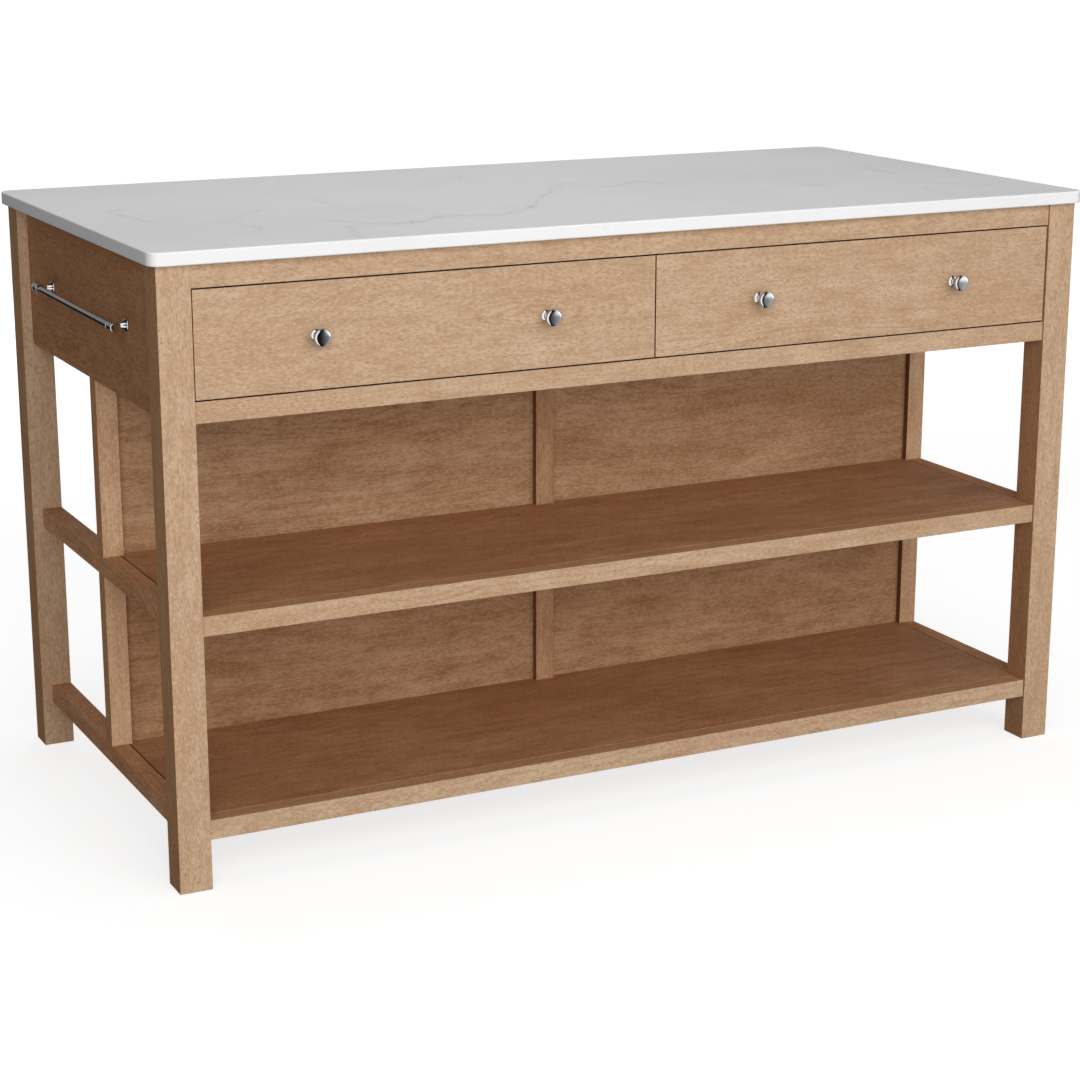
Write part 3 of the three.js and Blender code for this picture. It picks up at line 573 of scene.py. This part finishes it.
KNOB_REACH = 0.025
CAP_RADIUS = 0.01275
CAP_THICKNESS = 0.0065
CAP_CROWN = 0.00075
NECK_RADIUS = 0.004
FLANGE_RADIUS = 0.009
FLANGE_THICKNESS = 0.003
FLANGE_SLOPE = 0.0024  # the flange is a low cone, this much narrower at its top
FRONT_THICKNESS = 0.020
CROWN_SHARES = (0, 0.2, 0.4, 0.6)
KNOB_STEPS = [
    *[(CAP_RADIUS * share, KNOB_REACH - CAP_CROWN * share**2, 0) for share in CROWN_SHARES],
    (CAP_RADIUS, KNOB_REACH - CAP_CROWN, 0.0039),
    (CAP_RADIUS, KNOB_REACH - CAP_THICKNESS, 0.0011),
    (NECK_RADIUS, KNOB_REACH - CAP_THICKNESS, 0.0038),
    (NECK_RADIUS, FLANGE_THICKNESS, 0.0022),
    (FLANGE_RADIUS - FLANGE_SLOPE, FLANGE_THICKNESS, 0.0005),
    (FLANGE_RADIUS, 0.0006, 0.0004),
    (FLANGE_RADIUS, 0, 0),
    *screw_steps(FRONT_THICKNESS),
]
for side in ("left", "right"):
    for place in ("outer", "inner"):
        node = f"drawer_{side}_knob_{place}"
        low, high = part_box(node)
        face = Vector(((low.x + high.x) / 2, low.y + KNOB_REACH, (low.z + high.z) / 2))
        shape = bmesh.new()
        turned(shape, KNOB_STEPS)
        turn = Matrix.Rotation(math.pi / 2, 4, "X")
        bmesh.ops.transform(shape, matrix=Matrix.Translation(face) @ turn, verts=shape.verts)
        name = f"knob_{side}_{place}"
        piece_from(shape, name, nickel, "drawer_" + side, "polished_nickel", node)

# A towel bar is screwed to the left end apron: a plain rod held in the sockets of two turned
# brackets, each with a trumpet foot, a collar round the socket and a low-crowned end.
low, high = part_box("towel_rod")
ROD_AXIS = Vector(((low.x + high.x) / 2, 0, (low.z + high.z) / 2))
ROD_RADIUS = (high.x - low.x) / 2
ROD_HALF = high.y
APRON_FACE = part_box("end_apron_left")[0].x
STANDOFF = APRON_FACE - ROD_AXIS.x
BRACKET_SPACING = 0.370
STEM_RADIUS = 0.0035
WAIST_RADIUS = 0.0047
FOOT_RADIUS = 0.0095
APRON_THICKNESS = 0.032
STEM_STEPS = [
    (0, STANDOFF, 0),
    (STEM_RADIUS, STANDOFF, 0),
    (STEM_RADIUS, 0.0126, 0.0015),
    (WAIST_RADIUS, 0.0072, 0.0045),
    (FOOT_RADIUS, 0.0028, 0.0006),
    (FOOT_RADIUS, 0, 0),
    *screw_steps(APRON_THICKNESS),
]
END_RADIUS = 0.0066
END_REACH = 0.018
END_CROWN = 0.0004
END_THICKNESS = 0.0040
HEAD_RADIUS = 0.0061
COLLAR_RADIUS = 0.0067
COLLAR_START = -0.0050
SOCKET_DEPTH = 0.0080
SOCKET_RADIUS = ROD_RADIUS + 0.0003
HEAD_STEPS = [
    *[(END_RADIUS * share, END_REACH - END_CROWN * share**2, 0) for share in (0, 0.25, 0.5)],
    (END_RADIUS, END_REACH - END_CROWN, 0.0016),
    (END_RADIUS, END_REACH - END_THICKNESS, 0.0003),
    (HEAD_RADIUS, END_REACH - END_THICKNESS, 0),
    (HEAD_RADIUS, COLLAR_START, 0),
    (COLLAR_RADIUS, COLLAR_START, 0.0003),
    (COLLAR_RADIUS, -SOCKET_DEPTH, 0.0003),
    (SOCKET_RADIUS, -SOCKET_DEPTH, 0),
    (SOCKET_RADIUS, 0, 0),
    (0, 0, 0),
]
for place, end in {"front": -1, "back": 1}.items():
    middle = ROD_AXIS + Vector((0, end * BRACKET_SPACING / 2, 0))
    shape = bmesh.new()
    stem = turned(shape, STEM_STEPS)
    foot = Matrix.Translation((APRON_FACE, middle.y, middle.z))
    outwards = Matrix.Rotation(-math.pi / 2, 4, "Y")
    bmesh.ops.transform(shape, matrix=foot @ outwards, verts=stem)
    head = turned(shape, HEAD_STEPS)
    endwards = Matrix.Rotation(-end * math.pi / 2, 4, "X")
    bmesh.ops.transform(shape, matrix=Matrix.Translation(middle) @ endwards, verts=head)
    name = "towel_bracket_" + place
    piece_from(shape, "polished_" + name, nickel, "frame", "polished_nickel", name)
shape = bmesh.new()
ROD_STEPS = [
    (0, -ROD_HALF, 0),
    (ROD_RADIUS, -ROD_HALF, 0.0003),
    (ROD_RADIUS, ROD_HALF, 0.0003),
    (0, ROD_HALF, 0),
]
turned(shape, ROD_STEPS)
along = Matrix.Translation(ROD_AXIS) @ Matrix.Rotation(math.pi / 2, 4, "X")
bmesh.ops.transform(shape, matrix=along, verts=shape.verts)
piece_from(shape, "polished_towel_rod", nickel, "frame", "polished_nickel", "towel_rod")

# The worktop is a slab of white stone, bedded on the legs and aprons. Soft grey veins wander
# across it, its corners are rounded, and its edges are eased and honed like its faces.
STONE = (0.865, 0.865, 0.862)
STONE_CLOUD = (0.825, 0.827, 0.830)
VEIN = (0.465, 0.455, 0.440)
SLAB_REACH = 0.8
VEINS = [
    ("X", 0.0040, 1.15, [(-0.443, -0.158), (-0.349, -0.253), (-0.259, -0.213), (-0.190, -0.229),
                       (-0.011, -0.038), (0.066, 0.057), (0.090, 0.063), (0.112, -0.003),
                       (0.196, 0.031), (0.232, -0.085)]),
    ("Y", 0.0022, 1.20, [(-0.248, -0.560), (-0.184, -0.550), (-0.141, -0.569), (-0.077, -0.660),
                       (0.015, -0.680), (0.073, -0.667)]),
    ("X", 0.0025, 0.90, [(-0.569, -0.141), (-0.468, -0.006)]),
    ("Y", 0.0035, 0.60, [(-0.359, -0.458), (-0.226, -0.428)]),
    ("Y", 0.0035, 0.50, [(-0.104, -0.350), (-0.066, -0.358), (0.066, -0.363)]),
    ("X", 0.0024, 0.90, [(-0.163, -0.172), (-0.101, -0.150)]),
    ("Y", 0.0035, 0.50, [(0.192, -0.048), (0.317, -0.008)]),
    ("X", 0.0045, 0.80, [(0.373, -0.103), (0.436, -0.140), (0.451, -0.172)]),
    ("X", 0.0045, 0.80, [(0.561, -0.151), (0.630, -0.211), (0.663, -0.248), (0.729, -0.205)]),
    ("Y", 0.0035, 0.60, [(-0.060, 0.633), (0.003, 0.639), (0.059, 0.630)]),
    ("Y", 0.0035, 0.60, [(-0.358, 0.531), (-0.318, 0.537), (-0.229, 0.564)]),
]


def veined_stone():
    """White stone, faintly clouded, with soft grey veins along their own paths."""
    finish = Finish(bpy.data.materials.new("veined_stone"), "OutputMaterial")
    place = finish.place()
    axes = finish.node("SeparateXYZ", {}, {"Vector": place})
    wobble = (finish.noise(place, (9.0, 9.0, 9.0), 4.0, 0.6) - 0.5) * 0.060
    shiver = (finish.noise(place, (38.0, 38.0, 38.0), 4.0, 0.7) - 0.5) * 0.034
    swelling = finish.noise(place, (13.0, 13.0, 13.0), 2.0, 0.5)
    body = finish.noise(place, (26.0, 26.0, 26.0), 3.0, 0.6)
    veining = 0.0
    for axis, width, strength, path in VEINS:
        along = axes.out(axis)
        across = axes.out("Y" if axis == "X" else "X")
        points = [(0.5 + a / SLAB_REACH / 2, 0.5 + b / SLAB_REACH / 2) for a, b in path]
        share = along * (0.5 / SLAB_REACH) + 0.5
        line = finish.node("FloatCurve", {"points": points}, {"Value": share})
        middle = (line - 0.5) * (SLAB_REACH * 2)
        gap = finish.maths("ABSOLUTE", across - middle + wobble + shiver)
        reach = finish.between(swelling, 0.35, 0.70, width * 0.5, width * 2.2)
        core = finish.between(gap, reach, 0.0)
        halo = finish.between(gap, width * 7, 0.0, 0.0, 0.28)
        starts = finish.between(along, path[0][0] - 0.015, path[0][0] + 0.02)
        ends = finish.between(along, path[-1][0] + 0.015, path[-1][0] - 0.02)
        shown = (core * finish.between(body, 0.36, 0.58) + halo) * starts * ends * strength
        veining = finish.maths("MAXIMUM", shown, veining)
    web = finish.noise(place, (3.2, 4.4, 3.2), 5.0, 0.62)
    faint = finish.between(finish.maths("ABSOLUTE", web - 0.5), 0.010, 0.0, 0.0, 0.10)
    veining = finish.maths("MAXIMUM", veining * 0.36, faint * finish.between(body, 0.4, 0.6))
    cloud = finish.noise(place, (3.0, 4.0, 3.0), 3.0, 0.55)
    colour = finish.blend(finish.between(cloud, 0.42, 0.68), (*STONE, 1), (*STONE_CLOUD, 1))
    colour = finish.blend(veining, colour, (*VEIN, 1))
    return finish.principled(
        base_color=colour,
        roughness=0.34 + veining * 0.10 + (body - 0.5) * 0.05,
        specular_ior_level=0.5,
    )


dress("worktop", veined_stone())

# The studio: a wide pale floor that keeps the island's soft shadow, a white surround, and large
# soft lights in front, above and behind.
FLOOR_HALF = 40.0
FLOOR_GREY = 0.42
FLOOR_GLOW = 0.74


def studio_floor():
    """Matt grey to the lights, white to the camera, and open where polished metal mirrors it."""
    finish = Finish(bpy.data.materials.new("studio_floor"), "OutputMaterial")
    path = finish.node("LightPath", output="Is Camera Ray")
    seen = path + path.out("Is Transmission Ray")
    spot = finish.node("VectorMath", {"operation": "LENGTH"}, {0: finish.place()}, output="Value")
    level = finish.between(spot, 2.0, 6.0, FLOOR_GLOW, 1.0)
    glow = finish.node("Emission", {}, {"Color": (1, 1, 1, 1), "Strength": seen * level})
    matt = finish.node("BsdfDiffuse", {}, {"Color": (FLOOR_GREY, FLOOR_GREY, FLOOR_GREY, 1)})
    solid = finish.node("AddShader", {}, {0: glow, 1: matt})
    gap = finish.node("BsdfTransparent")
    either = finish.node("MixShader", {}, {0: path.out("Is Glossy Ray"), 1: solid, 2: gap})
    finish.tree.links.new(either.socket, finish.ending.inputs["Surface"])
    return finish.owner


shape = bmesh.new()
bmesh.ops.create_grid(shape, x_segments=1, y_segments=1, size=FLOOR_HALF)
floor_mesh = bpy.data.meshes.new("studio_floor")
shape.to_mesh(floor_mesh)
shape.free()
floor_mesh.materials.append(studio_floor())
floor = bpy.data.objects.new("studio_floor", floor_mesh)
bpy.context.scene.collection.objects.link(floor)

# Behind the floor's edge everything is white to the camera. Polished metal mirrors a plain
# dark room instead, with a large soft light on the left and paler corners and walls around.
AMBIENT = 0.12
DARK_ROOM = 0.015
surround = Finish(bpy.data.worlds.new("surround"), "OutputWorld")
bpy.context.scene.world = surround.owner
room = surround.node("TexCoord", output="Generated")
rightward = surround.node("SeparateXYZ", {}, {"Vector": room})
rearward = rightward.out("Y")
up = rightward.out("Z")
in_front = surround.between(rearward, 0.15, -0.15)
leaning = rightward - surround.maths("ABSOLUTE", up) * 0.25
left_wall = surround.between(leaning, -0.24, -0.36, 0.0, 1.6)
left_wall = left_wall * surround.between(rearward, -0.10, -0.30)
right_corner = surround.between(rightward, 0.25, 0.70, 0.0, 0.65) * in_front
right_window = surround.between(rightward, 0.36, 0.58, 0.0, 1.1) * in_front
right_window = right_window * surround.between(up, -0.15, -0.05) * surround.between(up, 0.45, 0.25)
beside = surround.between(rearward, -0.55, -0.38) * surround.between(rearward, 0.72, 0.52)
right_wall = surround.between(rightward, 0.55, 0.72, 0.0, 1.1) * beside
right_wall = right_wall * surround.between(up, -0.08, 0.08)
far_wall = surround.between(rearward, 0.60, 0.85, 0.0, 0.27) * surround.between(up, -0.05, 0.08)
mirrored = DARK_ROOM + left_wall + right_corner + right_window + right_wall + far_wall
path = surround.node("LightPath")
camera_ray = path.out("Is Camera Ray")
glossy_ray = path.out("Is Glossy Ray")
clear_ray = path.out("Is Transmission Ray")
other_ray = 1.0 - camera_ray - glossy_ray - clear_ray
strength = camera_ray + clear_ray + glossy_ray * mirrored + other_ray * AMBIENT
sky = surround.node("Background", {}, {"Color": (1, 1, 1, 1), "Strength": strength})
surround.tree.links.new(sky.socket, surround.ending.inputs["Surface"])

LIGHTS = {
    "front_light": {"at": (-0.70, -5.10, 2.20), "size": (8.4, 5.0), "watts": 348},
    "top_light": {"at": (0.00, 0.00, 3.40), "size": (2.2, 2.2), "watts": 30},
    "back_light": {"at": (0.80, 4.60, 1.80), "size": (4.0, 2.6), "watts": 85},
}
LIT_POINT = Vector((0, 0, 0.5))
for name, form in LIGHTS.items():
    lamp = bpy.data.lights.new(name, "AREA")
    lamp.shape = "RECTANGLE"
    lamp.size, lamp.size_y = form["size"]
    lamp.energy = form["watts"]
    stand = bpy.data.objects.new(name, lamp)
    stand.location = form["at"]
    aim = LIT_POINT - stand.location
    stand.rotation_euler = aim.to_track_quat("-Z", "Y").to_euler()
    stand.visible_glossy = False
    bpy.context.scene.collection.objects.link(stand)

bpy.context.scene.view_settings.view_transform = "Standard"
